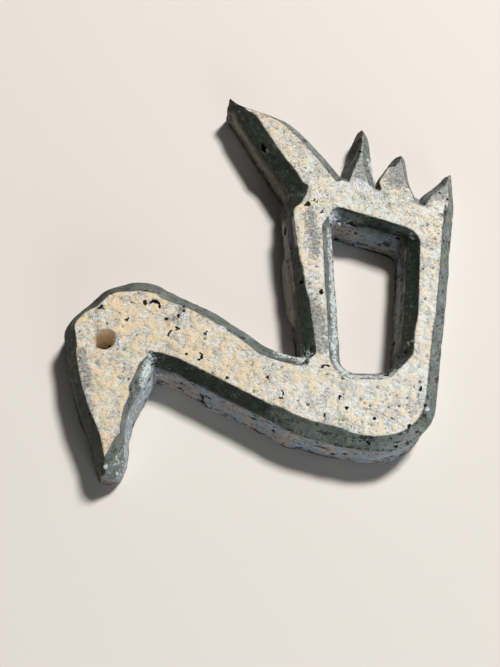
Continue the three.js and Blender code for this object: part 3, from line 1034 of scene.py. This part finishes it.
# %% The colour of the slip
# Turning towards the lights paints a side paler, as a painted reflection, and turning away paints it
# darker, as painted shade; the worn strokes and the noise add wear.
wear_and_light = (
    lit_side
    + stored("wear_and_light") * 0.85
    + (smudge - 0.5) * 0.9
    + (streak - 0.5) * 0.6
    + (fine - 0.5) * 0.8
)
slip_mid = noise(2.6, detail=4, offset=33).ramp(0.34, 0.66).blend(SLIP_MID, SLIP_BLUE)
slip_colour = wear_and_light.ramp(0.38, 0.82).blend(SLIP_DARK, slip_mid)
slip_colour = wear_and_light.ramp(0.78, 1.16).blend(slip_colour, SLIP_PALE)
shoulder = wall_weight.ramp(0.05, 0.30) * wear_and_light.ramp(0.3, 0.9)
slip_colour = (shoulder * 0.6).blend(slip_colour, SLIP_PALE)
crease = (face_weight + wobble * 0.6).ramp(0.10, 0.40)
slip_colour = (crease * 0.7).blend(slip_colour, SLIP_DARK)
thin_slip = (patch * 0.6 + coarse * 0.4 + streak * 0.2).ramp(0.58, 0.76)
slip_colour = (thin_slip * 0.5).blend(slip_colour, slip_mid)
nicks = (mottle * 0.6 + streak * 0.5).ramp(0.57, 0.66)
slip_colour = (nicks * 0.9).blend(slip_colour, BLACK)
print("nodes after the slip:", len(tree.nodes))

# %% [markdown]
# ### The walls
# The walls are raw clay, warm in some places and cool in others, under fine specks. Their drag
# marks come from the noise that is stretched along x and y, so they run level round the slab. The
# hidden underside was never dragged and gets none.

# %% The colour of the walls
tone = noise(4.0, detail=5, offset=15).ramp(0.38, 0.62)
wall_colour = tone.blend(WALL_WARM, WALL_COOL)
# Walls turned away from the lights are painted dark, as shade, and walls turned towards them pale
# blue, as a painted reflection of the sky.
wall_colour = wear_and_light.ramp(0.0, 0.45).blend(WALL_DARK, wall_colour)
wall_colour = (wear_and_light.ramp(0.75, 1.1) * 0.9).blend(wall_colour, WALL_PALE)
wall_colour = (fine * 0.6 + mottle * 0.5).ramp(0.55, 0.70).blend(wall_colour, SPECK)
low = 1 - position(2).ramp(0.2, 3.2)
drag = streak * 0.55 + smudge * 0.35 + coarse * 0.30 + low * 0.10 - raised * 0.3
grooves = (streak * 0.7 + grain * 0.3).ramp(0.46, 0.66)
wall_colour = (grooves * 0.35).blend(wall_colour, SPECK)
wall_colour = (drag.ramp(0.65, 0.72) * (1 - under)).blend(wall_colour, BLACK)
print("nodes after the walls:", len(tree.nodes))

# %% [markdown]
# ### Laying them over each other
# Face, slip and wall meet along masks that noise frays, as a brushed edge is frayed. The strokes of
# bare clay and slip, the chalk with its painted highlights and reflection, the grit with its painted
# glints, and the dark inside of the pits, which is partly painted shade, lie over them.

# %% The layers
bare = (stored("bare") + wobble * 0.5).ramp(0.25, 0.55)
side_colour = bare.blend(on_wall.blend(slip_colour, wall_colour), face_colour)
side_colour = stored("eye").ramp(0.05, 0.25).blend(side_colour, TAN)
slipped = (stored("slip") + wobble * 0.8).ramp(0.25, 0.50)
colour = (on_face * (1 - slipped)).blend(side_colour, face_colour)
# Chalky residue together with painted highlights and a painted reflection of the sky.
chalk_and_glints = (stored("chalk_and_glints") + wobble * 2.4 + (coarse - 0.5) * 2.0).ramp(0.36, 0.92)
chalk_and_glint_colour = speckle.ramp(0.42, 0.56).blend(CHALK_AND_SHEEN_BLUE, CHALK_AND_GLINT_WHITE)
colour = (chalk_and_glints * 0.85).blend(colour, chalk_and_glint_colour)
# Blue-grey grit with painted white glints.
grit_and_glints = (stored("grit_and_glints") + wobble * 1.6 + (fine - 0.5) * 1.2).ramp(0.30, 0.55)
grit_and_glint_colour = fine.ramp(0.42, 0.54).blend(SLIP_BLUE, GLINT_WHITE)
colour = grit_and_glints.blend(colour, grit_and_glint_colour)
# The inside of the pits is painted dark: partly painted shade, partly dark slip caught in them.
pit_colour = speckle.ramp(0.46, 0.66).blend(BLACK, SPECK)
colour = (in_pit * 0.9).blend(colour, pit_colour)
tree.links.new(colour.socket, shader.inputs["Base Color"])
print("nodes after the layers:", len(tree.nodes))

# %% [markdown]
# ### Gloss and grain
# Slip is a little shinier than bare clay, and chalk is the dullest. The grain is finer than the
# mesh can hold, so it is a bump.

# %% Roughness and bump
GRAIN_DEPTH = 0.22 * MM
SPECULAR = 0.25

shine = 0.40 + on_face * 0.42 + on_wall * 0.25 + chalk_and_glints * 0.15
tree.links.new(shine.socket, shader.inputs["Roughness"])
height = fine * 0.9 + coarse * 0.9 + flake * on_face * 0.10
bump = start.node("ShaderNodeBump", {}, {"Strength": 1.0, "Distance": GRAIN_DEPTH, "Height": height})
tree.links.new(bump.socket, shader.inputs["Normal"])
shader.inputs["Specular IOR Level"].default_value = SPECULAR
swan.data.materials.clear()
swan.data.materials.append(clay)
print("nodes in the clay:", len(tree.nodes))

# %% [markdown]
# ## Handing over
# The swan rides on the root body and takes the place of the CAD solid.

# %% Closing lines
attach(swan, "root")
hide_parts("swan")
